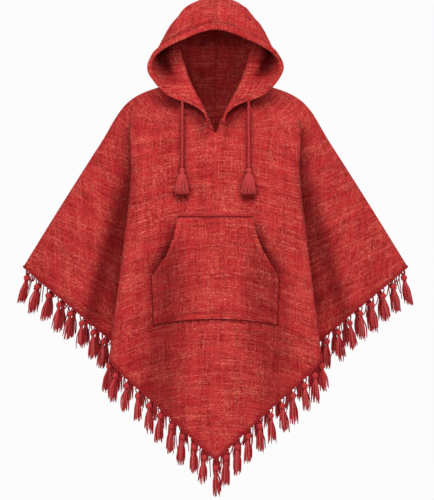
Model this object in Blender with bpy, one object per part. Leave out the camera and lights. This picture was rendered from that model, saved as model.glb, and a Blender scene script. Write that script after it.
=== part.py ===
"""Hooded poncho with a kangaroo pocket, drawcords and a knotted fringe, filled out as if worn.

Metres, +Z up, front towards -Y. The origin is where the shoulders carry the garment, midway
between the two sides of the neck.
"""

import math
import random

import bmesh
import bpy
import numpy as np
from mathutils import Vector
from mathutils.bvhtree import BVHTree

# Driving dimensions
WALL = 0.0025            # thickness of the woven cloth
CASING = 0.0060          # thickness of the hood's rolled casing round the face
SEAM = 0.0003            # space between two pieces at a seam
POCKET_GAP = 0.0005      # space between the pocket and the front where it is sewn down
POCKET_SLACK = 0.0028    # further space under the middle of the pocket
CORD_DIAMETER = 0.0065
CORD_REST = 0.0015       # space between a hanging cord and the chest near the neck
TASSEL_REST = 0.0196     # the same at the cord's end, where its tassel lies on the chest
TASSEL_FLATNESS = 0.62   # depth of that tassel as a share of its width
TASSEL_PITCH = 0.0345    # along the hem, from one knot to the next
TASSEL_SPLAY = 0.95      # outward lean of the hem's tassels for each square metre of x times |x|
STRIP_HEIGHT = 0.004     # the hem edge that the fringe is knotted into
ROOT_WIDTH = 0.005
STRIP_END = 0.001        # left free between the ends of two strips

# The front, from the centre to the overarm seam. Each row is a level down the garment and each
# column a line that runs down it: the ridge and the tuck are the two bends of the big side fold.
#            centre              mid                  ridge                tuck
#            wing inner          wing outer           overarm
FRONT = {
    "neck": [(0, -.110, -.101), (.026, -.107, -.086), (.062, -.095, -.052), (.080, -.066, -.017),
             (.086, -.040, .009), (.088, -.019, .023), (.088, 0, .030)],
    "yoke": [(0, -.128, -.200), (.085, -.112, -.150), (.178, -.083, -.088), (.196, -.052, -.060),
             (.206, -.035, -.042), (.207, -.018, -.025), (.205, 0, -.018)],
    "chest": [(0, -.145, -.380), (.095, -.134, -.330), (.191, -.118, -.2175), (.198, -.060, -.190),
              (.235, -.050, -.170), (.262, -.035, -.140), (.279, 0, -.126)],
    "hip": [(0, -.158, -.620), (.105, -.149, -.550), (.215, -.135, -.430), (.220, -.045, -.400),
            (.285, -.060, -.360), (.335, -.040, -.310), (.380, 0, -.285)],
    "hem": [(0, -.168, -.862), (.118, -.160, -.752), (.243, -.140, -.637), (.236, -.035, -.606),
            (.305, -.055, -.541), (.388, -.035, -.474), (.460, 0, -.415)],
}
FRONT_COLUMN_CELLS = (6, 4, 3, 3, 4, 3)
FRONT_ROW_CELLS = (3, 4, 4, 5)

# The back, in the same way
BACK = {
    "neck": [(0, .078, -.040), (.034, .070, -.030), (.060, .052, -.009), (.076, .035, .009),
             (.084, .023, .020), (.087, .011, .027), (.088, 0, .030)],
    "yoke": [(0, .112, -.130), (.095, .104, -.110), (.178, .075, -.078), (.198, .050, -.056),
             (.206, .034, -.041), (.207, .017, -.024), (.205, 0, -.018)],
    "chest": [(0, .128, -.340), (.105, .122, -.300), (.195, .098, -.2100), (.200, .058, -.188),
              (.236, .047, -.168), (.262, .033, -.139), (.279, 0, -.126)],
    "hip": [(0, .138, -.590), (.112, .132, -.525), (.218, .112, -.420), (.224, .047, -.395),
            (.287, .056, -.357), (.335, .038, -.308), (.380, 0, -.285)],
    "hem": [(0, .150, -.855), (.120, .143, -.745), (.245, .122, -.630), (.240, .040, -.600),
            (.306, .052, -.536), (.388, .034, -.470), (.460, 0, -.415)],
}
BACK_COLUMN_CELLS = (3, 3, 2, 2, 2, 2)
BACK_ROW_CELLS = (3, 4, 4, 5)

# The hood, one half: ribs from the face edge back to the nape, each from the crown seam down to
# the neck seam, where it ends on the neck line of the front. The roll is the line round the face
# where the cloth turns over and falls outwards to its rim. The nape is the neck line of the back.
#             crown              brow                 temple
#             cheek              jaw                  throat
HOOD = {
    "rim": [(0, -.120, .141), (.078, -.113, .117), (.136, -.098, .085),
            (.158, -.090, .047), (.118, -.096, -.008), (.040, -.106, -.045)],
    "casing": [(0, -.112, .157), (.089, -.104, .132), (.143, -.090, .089),
               (.153, -.078, .048), (.110, -.086, -.002), (.037, -.101, -.043)],
    "valley": [(0, -.084, .191), (.0955, -.069, .166), (.133, -.022, .103),
               (.120, -.034, .060), (.092, -.081, .005), (.033, -.103, -.045)],
    "fall": [(0, -.068, .205), (.0875, -.059, .179), (.109, -.050, .107),
             (.098, -.060, .060), (.074, -.082, .006), (.028, -.105, -.051)],
    "roll": [(0, -.045, .220), (.0795, -.044, .193), (.087, -.052, .116),
             (.076, -.062, .064), (.057, -.076, .012), (.024, -.103, -.054)],
    "stand": [(0, -.008, .232), (.0770, -.010, .198), (.103, -.017, .127),
              (.094, -.026, .068), (.079, -.044, .026), (.050, -.086, -.024)],
    "side": [(0, .035, .228), (.0770, .026, .193), (.111, .022, .125),
             (.108, .005, .072), (.096, -.014, .044), (.080, -.052, .008)],
    "crown_back": [(0, .072, .208), (.0745, .058, .176), (.107, .045, .116),
                   (.104, .026, .074), (.096, .004, .052), (.088, -.022, .033)],
    "back": [(0, .104, .172), (.0670, .088, .144), (.098, .065, .098),
             (.100, .040, .068), (.094, .018, .050), (.089, -.007, .038)],
    "occiput": [(0, .122, .118), (.056, .108, .100), (.088, .080, .074),
                (.095, .052, .058), (.092, .030, .047), (.089, .005, .040)],
    "collar": [(0, .110, .035), (.045, .098, .032), (.074, .072, .032),
               (.086, .048, .034), (.089, .028, .036), (.0885, .010, .036)],
}
RIB_CELLS = (1, 2, 1, 1, 3, 3, 3, 3, 2, 2, 2)

# The pocket: height, and half the width there. The hand openings run from the first row to the
# fifth, and the bottom edge rises by the arch towards the centre.
POCKET = [(-.3015, .0880), (-.3250, .0915), (-.3520, .0975), (-.3820, .1115), (-.4110, .1310),
          (-.4360, .1480), (-.4650, .1475), (-.4950, .1460), (-.5250, .1450), (-.5508, .1435)]
POCKET_ARCH = .0137
POCKET_COLUMNS = 10

# The drawcords hang from under the rim, a little inwards of the jaw
CORD_X = .0780
CORD_REACH = -.0550      # a level below the rim, from which the cord is led up to it
CORD_END = -.1860
CORD_POINTS = 11
TASSEL_LOCKS = 12
# Tassel on a drawcord: depth below the cord's end, and radius
CORD_TASSEL = [(.0000, .0030), (.0015, .0054), (.0050, .0062), (.0085, .0056), (.0105, .0038),
               (.0130, .0050)]
CORD_LOCKS = [(.0330, .0125), (.0620, .0190)]

# Knotted hem tassel: depth below the strip, and half the width there
KNOT = [(.0080, .0018), (.0160, .0058), (.0235, .0036)]
LOCKS = [(.0500, .0060), (.0800, .0085)]


def clear_scene():
    for obj in list(bpy.data.objects):
        bpy.data.objects.remove(obj, do_unlink=True)


def yarn(name, colour, roughness):
    material = bpy.data.materials.new(name)
    material.use_nodes = True
    shader = material.node_tree.nodes["Principled BSDF"]
    shader.inputs["Base Color"].default_value = (*colour, 1)
    shader.inputs["Roughness"].default_value = roughness
    shader.inputs["Metallic"].default_value = 0
    return material


def add_object(name, mesh_or_curve, material):
    obj = bpy.data.objects.new(name, mesh_or_curve)
    obj.data.materials.append(material)
    bpy.context.scene.collection.objects.link(obj)
    return obj


def add_mesh(name, points, faces, material):
    """A closed mesh with its faces turned outwards."""
    shape = bmesh.new()
    corners = [shape.verts.new(point) for point in points]
    for face in faces:
        shape.faces.new([corners[i] for i in face])
    bmesh.ops.recalc_face_normals(shape, faces=shape.faces)
    bmesh.ops.triangulate(shape, faces=shape.faces)
    mesh = bpy.data.meshes.new(name)
    shape.to_mesh(mesh)
    shape.free()
    mesh.shade_smooth()
    mesh.set_sharp_from_angle(angle=math.radians(50))
    return add_object(name, mesh, material)


def spline(points, cells, before, after):
    """Samples of a Catmull-Rom curve through points, with so many cells between two of them."""
    chain = np.array([before, *points, after], float)
    samples = []
    for start, count in enumerate(cells):
        a, b, c, d = chain[start:start + 4]
        for step in range(count):
            t = step / count
            samples.append(0.5 * (2 * b + (c - a) * t + (2 * a - 5 * b + 4 * c - d) * t ** 2
                                  + (3 * b - a - 3 * c + d) * t ** 3))
    samples.append(chain[-2])
    return np.array(samples)


def straight_on(points):
    """The points that carry a curve straight on past its two ends."""
    return 2 * points[0] - points[1], 2 * points[-1] - points[-2]


def panel_points(table, column_cells, row_cells, round_rows=()):
    """Half a panel as a grid of points: rows down the garment, columns from centre to overarm.

    A row comes to a point at the centre, as the hem and the V neck do, unless it is a round one.
    """
    rows = []
    for name, level in table.items():
        level = np.array(level, float)
        across_centre = level[1] * (-1, 1, 1)
        if name not in round_rows:
            across_centre[1:] = level[0, 1], 2 * level[0, 2] - level[1, 2]
        across_overarm = level[-2] * (1, -1, 1)
        rows.append(spline(level, column_cells, across_centre, across_overarm))
    rows = np.array(rows)
    return spline(rows, row_cells, *straight_on(rows))


def both_halves(half):
    """The whole panel, from the wearer's right overarm to the left one."""
    mirrored = half[:, :0:-1] * (-1, 1, 1)
    return np.concatenate([mirrored, half], axis=1)


def unit(directions):
    return directions / np.linalg.norm(directions, axis=-1, keepdims=True)


def grid_normals(grid, turn):
    """Unit normals of a grid of points. Turn is 1 or -1 and chooses the side they point to."""
    down = np.gradient(grid, axis=0)
    across = np.gradient(grid, axis=1)
    return unit(np.cross(across, down) * turn)


def towards_neck(points):
    """Level directions from points on the neck seam to the middle of the neck."""
    return unit(-points * (1, 1, 0))


def without(directions, axis):
    """The same directions with one axis taken out, as a seam in that plane needs."""
    flat = directions.copy()
    flat[..., axis] = 0
    return unit(flat)


def wall_faces(rows, columns):
    """Faces of a closed wall whose outer grid comes first in its points and inner grid second."""
    inner = rows * columns

    def at(row, column):
        return row * columns + column

    faces = []
    for row in range(rows - 1):
        for column in range(columns - 1):
            cell = [at(row, column), at(row, column + 1), at(row + 1, column + 1), at(row + 1, column)]
            faces.append(cell)
            faces.append([corner + inner for corner in reversed(cell)])
    edge = [at(0, c) for c in range(columns - 1)]
    edge += [at(r, columns - 1) for r in range(rows - 1)]
    edge += [at(rows - 1, c) for c in range(columns - 1, 0, -1)]
    edge += [at(r, 0) for r in range(rows - 1, 0, -1)]
    for here, there in zip(edge, edge[1:] + edge[:1]):
        faces.append([there, here, here + inner, there + inner])
    return faces


def add_wall(name, outer, inner, material):
    rows, columns = outer.shape[:2]
    points = np.concatenate([outer.reshape(-1, 3), inner.reshape(-1, 3)])
    return add_mesh(name, points.tolist(), wall_faces(rows, columns), material)


def panel_wall(half, turn):
    """Outer and inner points of a whole panel. Its two overarm edges stop half a seam short."""
    outer = both_halves(half)
    outer[:, [0, -1], 1] = -turn * SEAM / 2
    normals = grid_normals(outer, -turn)
    normals[:, [0, -1]] = without(normals[:, [0, -1]], 1)
    normals[0] = -towards_neck(outer[0])
    return outer, outer - WALL * normals


def hood_points(front_neck, back_neck):
    """One half of the hood as a grid: ribs from the face edge to the nape, crown to neck seam."""
    feet = np.cumsum((0,) + RIB_CELLS)
    ribs = []
    for foot, rib in zip(feet, HOOD.values()):
        rib = np.array([*rib, front_neck[foot]], float)
        across_crown = rib[1] * (-1, 1, 1)
        ribs.append(spline(rib, BACK_COLUMN_CELLS, across_crown, 2 * rib[-1] - rib[-2]))
    ribs.append(back_neck)
    ribs = np.array(ribs)
    grid = spline(ribs, RIB_CELLS, *straight_on(ribs))
    grid[:, -1] = front_neck
    grid[-1] = back_neck
    return grid


def hood_wall(front_neck, back_neck):
    """Outer and inner points of the hood's half at +X, clear of the seams round it."""
    outer = hood_points(front_neck, back_neck)
    normals = grid_normals(outer, 1)
    normals[:, 0] = without(normals[:, 0], 0)
    normals[:, -1] = -towards_neck(outer[:, -1])
    normals[-1] = -towards_neck(outer[-1])
    normals[:-1, -2] = unit(normals[:-1, -2] + normals[:-1, -1])
    depth = np.full(outer.shape[:2] + (1,), WALL)
    depth[:2, :-2] = CASING
    inner = outer - depth * normals
    lift = np.array([0, 0, SEAM * 1.5])
    outer = outer + lift
    inner = inner + lift
    outer[..., 0] = np.maximum(outer[..., 0], SEAM / 2)
    inner[..., 0] = np.maximum(inner[..., 0], SEAM / 2)
    return outer, inner


def surface_tree(obj):
    """The object's faces, for laying other pieces on them."""
    return BVHTree.FromObject(obj, bpy.context.evaluated_depsgraph_get())


def on_front(tree, x, z):
    """The point of the front straight behind (x, z), and its outward normal."""
    place, normal, _, _ = tree.ray_cast(Vector((x, -1, z)), Vector((0, 1, 0)))
    if normal.y > 0:
        normal = -normal
    return np.array(place), np.array(normal)


def add_pocket(tree, material):
    """The pocket is the front's own points within its outline, moved out."""
    outer = []
    inner = []
    last = len(POCKET) - 1
    for row, (z, half_width) in enumerate(POCKET):
        outer_row = []
        inner_row = []
        for column in range(POCKET_COLUMNS + 1):
            across = 2 * column / POCKET_COLUMNS - 1
            arch = POCKET_ARCH * (1 - across ** 2) * (row / last) ** 2
            place, normal = on_front(tree, across * half_width, z + arch)
            slack = math.sin(math.pi * row / last) * (0.35 + 0.65 * across ** 2 * (row < 6))
            near = POCKET_GAP + POCKET_SLACK * slack
            inner_row.append(place + near * normal)
            outer_row.append(place + (near + WALL) * normal)
        outer.append(outer_row)
        inner.append(inner_row)
    return add_wall("pocket", np.array(outer), np.array(inner), material)


def cord_top(hood_tree, x, y):
    """The level at which a cord under the rim just clears it."""
    radius = CORD_DIAMETER / 2
    levels = []
    for corner in range(12):
        turn = corner * math.pi / 6
        corner = Vector((x + radius * math.cos(turn), y + radius * math.sin(turn), CORD_REACH))
        place, _, _, _ = hood_tree.ray_cast(corner, Vector((0, 0, 1)))
        levels.append(place.z)
    return min(levels) - SEAM


def cord_route(front_tree, hood_tree, side):
    """Centre line of a drawcord, straight down from the rim and then along the chest."""
    place, _ = on_front(front_tree, CORD_X, CORD_REACH)
    top_y = place[1] - CORD_DIAMETER / 2 - CORD_REST
    top = cord_top(hood_tree, CORD_X, top_y)
    route = []
    for step in range(CORD_POINTS):
        z = top + (CORD_END - top) * step / (CORD_POINTS - 1)
        place, _ = on_front(front_tree, CORD_X, max(z, CORD_END + .016))
        share = min(1, step / (CORD_POINTS - 2)) ** 2
        y = place[1] - CORD_DIAMETER / 2 - CORD_REST - (TASSEL_REST - CORD_REST) * share
        route.append((side * CORD_X, top_y if step < 2 else min(y, top_y), z))
    return route


def add_drawcord(name, route, material):
    curve = bpy.data.curves.new(name, "CURVE")
    curve.dimensions = "3D"
    curve.bevel_depth = CORD_DIAMETER / 2
    curve.bevel_resolution = 2
    curve.use_fill_caps = True
    line = curve.splines.new("POLY")
    line.points.add(len(route) - 1)
    for point, place in zip(line.points, route):
        point.co = (*place, 1)
    return add_object(name, curve, material)


def add_cord_tassel(name, top, material):
    """A bead and neck with a ring of locks out of their underside."""
    x, y, z = top
    sides = TASSEL_LOCKS
    points = [(x, y, z)]
    faces = []
    for ring, (drop, radius) in enumerate(CORD_TASSEL):
        for side in range(sides):
            turn = 2 * math.pi * side / sides
            points.append((x + radius * math.cos(turn), y + radius * math.sin(turn), z - drop))
            nearby = 1 + ring * sides + (side + 1) % sides
            here = 1 + ring * sides + side
            if ring == 0:
                faces.append((0, here, nearby))
            else:
                faces.append((here, nearby, nearby - sides, here - sides))
    root = len(points) - sides
    centre = len(points)
    points.append((x, y, points[root][2]))
    for side in range(sides):
        ring = [centre, root + side, root + (side + 1) % sides]
        turn = 2 * math.pi * (side + 0.5) / sides
        for drop, radius in CORD_LOCKS:
            away = Vector((math.cos(turn), TASSEL_FLATNESS * math.sin(turn), 0))
            aside = Vector((-math.sin(turn), TASSEL_FLATNESS * math.cos(turn), 0))
            width = radius * math.tan(math.pi / sides) * 0.9
            level = Vector((x, y, z - drop))
            first = len(points)
            points.append(level + away * radius * 0.45)
            points.append(level + away * radius - aside * width)
            points.append(level + away * radius + aside * width)
            for k in range(3):
                after = (k + 1) % 3
                faces.append((ring[k], ring[after], first + after, first + k))
            ring = [first, first + 1, first + 2]
        faces.append(tuple(ring))
    return add_mesh(name, points, faces, material)


def hem_stations(outer):
    """Length along a hem from its first point to each of its points."""
    steps = np.linalg.norm(np.diff(outer, axis=0), axis=1)
    return np.concatenate([[0], np.cumsum(steps)])


def hem_place(hem, stations, along):
    return np.array([np.interp(along, stations, hem[:, axis]) for axis in range(3)])


def hem_gaps(outer, inner):
    """Space to leave below each point of a hem: more where its edge twists round a fold."""
    directions = (outer - inner) / WALL
    twist = np.linalg.norm(np.diff(directions, axis=0), axis=1)
    widest = np.maximum(np.append(twist, 0), np.insert(twist, 0, 0))
    return SEAM * 1.4 + WALL * 0.3 * widest


def add_fringe(name, outer, inner, material, seed, ends=(0.5, 0.5)):
    """A strip just below a stretch of hem, with a knotted tassel out of it at each pitch.

    Ends gives the space from each end of the stretch to its first tassel, in pitches.
    """
    chance = random.Random(seed)
    stations = hem_stations(outer)
    length = stations[-1]
    count = max(1, round(length / TASSEL_PITCH - sum(ends))) + 1
    pitch = length / (count - 1 + sum(ends))
    centres = [pitch * (ends[0] + k) for k in range(count)]
    cuts = {float(along): False for along in stations[1:-1]}
    cuts[STRIP_END] = False
    cuts[length - STRIP_END] = False
    for centre in centres:
        for along in stations:
            if abs(along - centre) < ROOT_WIDTH * 0.55:
                centre = along + ROOT_WIDTH * 0.6
        cuts[centre - ROOT_WIDTH / 2] = True
        cuts[centre + ROOT_WIDTH / 2] = False
    alongs = sorted(cuts)
    gaps = hem_gaps(outer, inner)
    points = []
    for along in alongs:
        gap = np.interp(along, stations, gaps)
        for hem in (outer, inner):
            place = hem_place(hem, stations, along) - (0, 0, gap)
            points.append(place)
            points.append(place - (0, 0, STRIP_HEIGHT))
    faces = [(0, 2, 3, 1)]
    for section, along in enumerate(alongs[:-1]):
        a = 4 * section
        b = a + 4
        faces.append((a, b, b + 2, a + 2))
        faces.append((a, a + 1, b + 1, b))
        faces.append((a + 2, b + 2, b + 3, a + 3))
        root = (a + 1, b + 1, b + 3, a + 3)
        if cuts[along]:
            add_tassel(points, faces, root, chance)
        else:
            faces.append(root)
    last = 4 * (len(alongs) - 1)
    faces.append((last, last + 1, last + 3, last + 2))
    return add_mesh(name, points, faces, material)


def add_tassel(points, faces, root, chance):
    """Grows a leg, a knot and two locks down from one face of a strip."""
    middle = sum(np.array(points[i]) for i in root) / 4
    along = np.array(points[root[1]]) - np.array(points[root[0]])
    along = without(along, 2)
    away = np.array([along[1], -along[0], 0])
    if away.dot(np.array(points[root[0]]) - np.array(points[root[3]])) < 0:
        away = -away
    splay = np.array([TASSEL_SPLAY * middle[0] * abs(middle[0]), 0, 0])
    lean = splay + along * chance.uniform(-.06, .06) + away * chance.uniform(.02, .07)
    stretch = chance.uniform(.94, 1.05)
    ring = list(root)
    corners = ((-1, 1), (1, 1), (1, -1), (-1, -1))
    for drop, half in KNOT:
        level = middle + lean * drop - np.array([0, 0, drop])
        first = len(points)
        for u, v in corners:
            points.append(level + along * u * half + away * v * half)
        for k in range(4):
            after = (k + 1) % 4
            faces.append((ring[k], ring[after], first + after, first + k))
        ring = [first, first + 1, first + 2, first + 3]
    for lock, (three, way) in enumerate((((0, 1, 2), 1), ((0, 2, 3), -1))):
        edge = [ring[k] for k in three]
        spread = chance.uniform(.8, 1.15)
        for step, (drop, half) in enumerate(LOCKS):
            drop *= stretch * (1 if lock else chance.uniform(.96, 1.02))
            level = middle + lean * drop - np.array([0, 0, drop])
            first = len(points)
            for k in three:
                u, v = corners[k]
                shift = along * half * 0.35 * way * spread + away * half * 0.15 * way
                points.append(level + shift + along * u * half * .55 + away * v * half * .5)
            for k in range(3):
                after = (k + 1) % 3
                faces.append((edge[k], edge[after], first + after, first + k))
            edge = [first, first + 1, first + 2]
        faces.append(tuple(edge))


def add_front_and_back(cloth):
    front_half = panel_points(FRONT, FRONT_COLUMN_CELLS, FRONT_ROW_CELLS)
    back_half = panel_points(BACK, BACK_COLUMN_CELLS, BACK_ROW_CELLS, round_rows=("neck",))
    front = panel_wall(front_half, 1)
    back = panel_wall(back_half, -1)
    front_panel = add_wall("front_panel", *front, cloth)
    add_wall("back_panel", *back, cloth)
    return front_half, back_half, front, back, surface_tree(front_panel)


def add_hood(front_half, back_half, cloth):
    outer, inner = hood_wall(front_half[0], back_half[0])
    hood_right = add_wall("hood_right", outer, inner, cloth)
    flip = np.array([-1, 1, 1])
    add_wall("hood_left", outer * flip, inner * flip, cloth)
    return surface_tree(hood_right)


def add_fringes(front, back, yarn_material):
    """The front and the back each have a strip round the point and one along each wing."""
    for name, (outer, inner), cells in (("front", front, FRONT_COLUMN_CELLS),
                                        ("back", back, BACK_COLUMN_CELLS)):
        centre = sum(cells)
        ridge = sum(cells[:2])
        stretches = {
            "wing_left": (0, centre - ridge),
            "point": (centre - ridge, centre + ridge),
            "wing_right": (centre + ridge, 2 * centre),
        }
        for part, (first, last) in stretches.items():
            hem = slice(first, last + 1)
            add_fringe(f"fringe_{name}_{part}", outer[-1, hem], inner[-1, hem], yarn_material,
                       seed=len(part) + first)


def main():
    clear_scene()
    cloth = yarn("red woven cloth", (.42, .035, .028), .9)
    fringe_yarn = yarn("dark red fringe yarn", (.33, .02, .02), .85)
    cord_yarn = yarn("red twisted cord", (.36, .02, .02), .8)
    front_half, back_half, front, back, front_tree = add_front_and_back(cloth)
    hood_tree = add_hood(front_half, back_half, cloth)
    add_pocket(front_tree, cloth)
    for name, side in (("left", -1), ("right", 1)):
        route = cord_route(front_tree, hood_tree, side)
        add_drawcord(f"drawcord_{name}", route, cord_yarn)
        x, y, z = route[-1]
        add_cord_tassel(f"cord_tassel_{name}", (x, y, z - SEAM), cord_yarn)
    add_fringes(front, back, fringe_yarn)


main()
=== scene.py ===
import math
import random

import bpy
import numpy as np
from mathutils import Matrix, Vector, noise
from mathutils.bvhtree import BVHTree


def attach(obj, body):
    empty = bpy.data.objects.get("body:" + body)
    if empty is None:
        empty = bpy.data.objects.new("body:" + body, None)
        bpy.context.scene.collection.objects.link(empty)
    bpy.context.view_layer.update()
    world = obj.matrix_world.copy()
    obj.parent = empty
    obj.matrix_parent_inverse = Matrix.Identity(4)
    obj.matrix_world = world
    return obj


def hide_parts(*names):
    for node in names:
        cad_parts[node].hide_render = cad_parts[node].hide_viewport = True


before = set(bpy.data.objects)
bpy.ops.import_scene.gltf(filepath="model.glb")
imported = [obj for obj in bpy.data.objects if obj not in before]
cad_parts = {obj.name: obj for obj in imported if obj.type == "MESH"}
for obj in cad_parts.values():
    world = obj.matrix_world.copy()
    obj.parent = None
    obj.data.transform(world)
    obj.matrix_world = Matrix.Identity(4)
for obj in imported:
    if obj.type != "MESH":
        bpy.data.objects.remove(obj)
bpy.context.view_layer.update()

# Hooded poncho of hand-woven wool with a kangaroo pocket, drawcords and a knotted fringe.
# Metres, +Z up, front towards -Y, shoulders at the origin.

sides = {"left": -1, "right": 1}     # as seen from the front, with the sign of x
goldenShare = .618034                # of a turn, spreads the strands of a tassel evenly


def linear(code):
    # sRGB hex to the linear colour that the shaders take
    shares = [int(code[i:i + 2], 16) / 255 for i in (0, 2, 4)]
    return tuple(c / 12.92 if c <= .04045 else ((c + .055) / 1.055) ** 2.4 for c in shares) + (1,)


def node(tree, kind, links=None, out=0, **settings):
    # adds one node with its settings and what goes into its sockets: a number, a colour or
    # another node's output. Gives back one output of the new node
    made = tree.nodes.new("ShaderNode" + kind)
    for name, value in settings.items():
        setattr(made, name, value)
    for socket, value in (links or {}).items():
        if isinstance(value, bpy.types.NodeSocket):
            tree.links.new(value, made.inputs[socket])
        else:
            made.inputs[socket].default_value = value
    return made.outputs[out] if made.outputs else made


def newMaterial(name):
    material = bpy.data.materials.new(name)
    material.use_nodes = True
    tree = material.node_tree
    return material, tree, tree.nodes["Principled BSDF"]


def millimetres(tree):
    uv = node(tree, "UVMap", uv_map="weave")
    return node(tree, "VectorMath", {0: uv, 1: (1000, 1000, 1000)}, operation="MULTIPLY")


def newPiece(name, points, faces, materials, uvs, painted=None):
    mesh = bpy.data.meshes.new(name)
    mesh.from_pydata([tuple(map(float, p)) for p in points], [], faces)
    layer = mesh.uv_layers.new(name="weave")
    corners = np.array([c for face in faces for c in face])
    layer.data.foreach_set("uv", np.asarray(uvs, float)[corners].ravel())
    for material in materials:
        mesh.materials.append(material)
    if painted:
        mesh.polygons.foreach_set("material_index", painted)
    mesh.validate()
    mesh.shade_smooth()
    piece = bpy.data.objects.new(name, mesh)
    bpy.context.scene.collection.objects.link(piece)
    return piece


def pickOnly(piece):
    bpy.ops.object.select_all(action="DESELECT")
    piece.select_set(True)
    bpy.context.view_layer.objects.active = piece


def dress(piece, slot, *nodes):
    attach(piece, "root")
    if nodes:
        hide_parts(*nodes)


def unit(directions):
    return directions / np.linalg.norm(directions, axis=-1, keepdims=True)


def without(directions, axis):
    flat = directions.copy()
    flat[..., axis] = 0
    return unit(flat)


def smoothStep(low, high, value):
    t = np.clip((value - low) / (high - low), 0, 1)
    return t * t * (3 - 2 * t)


def fading(distance, reach):
    # 1 at no distance, a third at the reach, and soon nothing
    return np.exp(-(distance / reach) ** 2)


def lengths(points, axis=0):
    # how far each point of a line or a grid lies along it from the start
    steps = np.linalg.norm(np.diff(points, axis=axis), axis=-1)
    start = np.zeros_like(np.take(steps, [0], axis=axis))
    return np.concatenate([start, np.cumsum(steps, axis=axis)], axis=axis)


def pointsAt(alongs, stations, line):
    # the points of a line at these lengths, where stations are the lengths of its own points
    return np.stack([np.interp(alongs, stations, line[:, axis]) for axis in range(3)], axis=-1)


view = {
    "place": (.0036, -5, -.3768),
    "turn": (90, 0, 0),
    "lens": 150,
    "sensor": 36,            # upright, so that the picture takes in 1.2 m at the origin
}


def addCamera():
    data = bpy.data.cameras.new("camera")
    data.lens = view["lens"]
    data.sensor_fit = "VERTICAL"
    data.sensor_height = view["sensor"]
    camera = bpy.data.objects.new("camera", data)
    camera.location = view["place"]
    camera.rotation_euler = [math.radians(a) for a in view["turn"]]
    bpy.context.scene.collection.objects.link(camera)
    bpy.context.scene.camera = camera


addCamera()
print("camera placed")

yarn = {
    "plyLength": 3.125,      # mm from one ply to the next along the yarn
    "waveBands": .628,       # how far apart a Wave texture of scale 1 has its diagonal bands
    "hairWidth": 1.6,        # mm, drawn coarser than real wool so that it shows
    "hairShare": .55,        # of the pattern. The plies are the rest
    "relief": .0006,         # m
}

wools = {
    # the shade between the plies, the red, and the light on the hair
    "fringe": ("plied wool fringe yarn", "7A0C15", "C0262E", "EA5C5C"),
    "hem": ("dark plied wool hem yarn", "670A12", "9C1A21", "C43A3B"),
    "pale": ("light plied wool fringe yarn", "8E161E", "C83A40", "EC7A76"),
    "cord": ("twisted wool cord", "84141A", "B22B30", "D45450"),
    "tassel": ("wool of the cord's tassel", "96181E", "CC383C", "F06C68"),
    # two dark yarns laid round the pocket as painted shadow lines
    "shadowLine": ("dark red yarn for painted shadow lines", "520A0E", "761418", "962428"),
    "topShadowLine": ("crimson yarn for a painted shadow line", "640E12", "8A1A1E", "A82C30"),
    "thread": ("red sewing thread", "8C1A1E", "AC282C", "C84646"),
}


def spunWool(name, gap, red, light):
    # Plied wool yarn, spun and twisted: matt, with the plies as slanting light and dark lines
    # that the hair softens
    material, tree, shader = newMaterial(name)
    mm = millimetres(tree)
    plies = node(tree, "TexWave", {"Vector": mm, "Scale": yarn["waveBands"] / yarn["plyLength"],
                                   "Distortion": 1.2, "Detail": 1.0, "Detail Scale": 1.5},
                 out="Fac", bands_direction="DIAGONAL")
    hair = node(tree, "TexNoise", {"Vector": mm, "Scale": 1 / yarn["hairWidth"], "Detail": 2.0,
                                   "Roughness": .6})
    mixed = node(tree, "Mix", {0: yarn["hairShare"], 2: plies, 3: hair})
    ramp = node(tree, "ValToRGB", {"Fac": mixed})
    stops = ramp.node.color_ramp.elements
    stops[0].position, stops[0].color = .28, linear(gap)
    stops[1].position, stops[1].color = .75, linear(light)
    stops.new(.5).color = linear(red)
    bump = node(tree, "Bump", {"Height": mixed, "Strength": .55, "Distance": yarn["relief"]})
    tree.links.new(ramp, shader.inputs["Base Color"])
    tree.links.new(bump, shader.inputs["Normal"])
    shader.inputs["Roughness"].default_value = .86
    shader.inputs["Specular IOR Level"].default_value = .08
    shader.inputs["Sheen Weight"].default_value = .08
    shader.inputs["Sheen Roughness"].default_value = .5
    shader.inputs["Sheen Tint"].default_value = linear("E8605A")
    return material


wool = {word: spunWool(*colours) for word, colours in wools.items()}


class Tubes:
    # Gathers yarns as tubes in one mesh. The first UV goes round and the second along, in metres
    def __init__(self):
        self.points = []
        self.faces = []
        self.uvs = []
        self.painted = []

    def add(self, path, radii, corners=5, lobes=0, lobeDepth=0.0, twist=0.0, caps=True, paint=0):
        path = np.asarray(path, float)
        tangents = unit(np.gradient(path, axis=0))
        side = np.cross(tangents[0], (.31, .95, .05))     # a way that no yarn runs
        first = len(self.points)
        for place, tangent, radius, along in zip(path, tangents, radii, lengths(path)):
            side = side - tangent * side.dot(tangent)
            side /= np.linalg.norm(side)
            other = np.cross(tangent, side)
            for k in range(corners):
                turn = 2 * math.pi * k / corners
                grow = 1 + lobeDepth * math.cos(lobes * turn - twist * along)
                self.points.append(place + radius * grow * (math.cos(turn) * side + math.sin(turn) * other))
                self.uvs.append((turn * radius, along))
        for ring in range(len(path) - 1):
            a = first + ring * corners
            for k in range(corners):
                after = (k + 1) % corners
                self.faces.append((a + k, a + after, a + corners + after, a + corners + k))
        if caps:
            last = first + (len(path) - 1) * corners
            self.faces.append(tuple(first + k for k in reversed(range(corners))))
            self.faces.append(tuple(last + k for k in range(corners)))
        self.painted += [paint] * (len(self.faces) - len(self.painted))

    def piece(self, name, *materials):
        return newPiece(name, self.points, self.faces, materials, self.uvs, self.painted)


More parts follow.
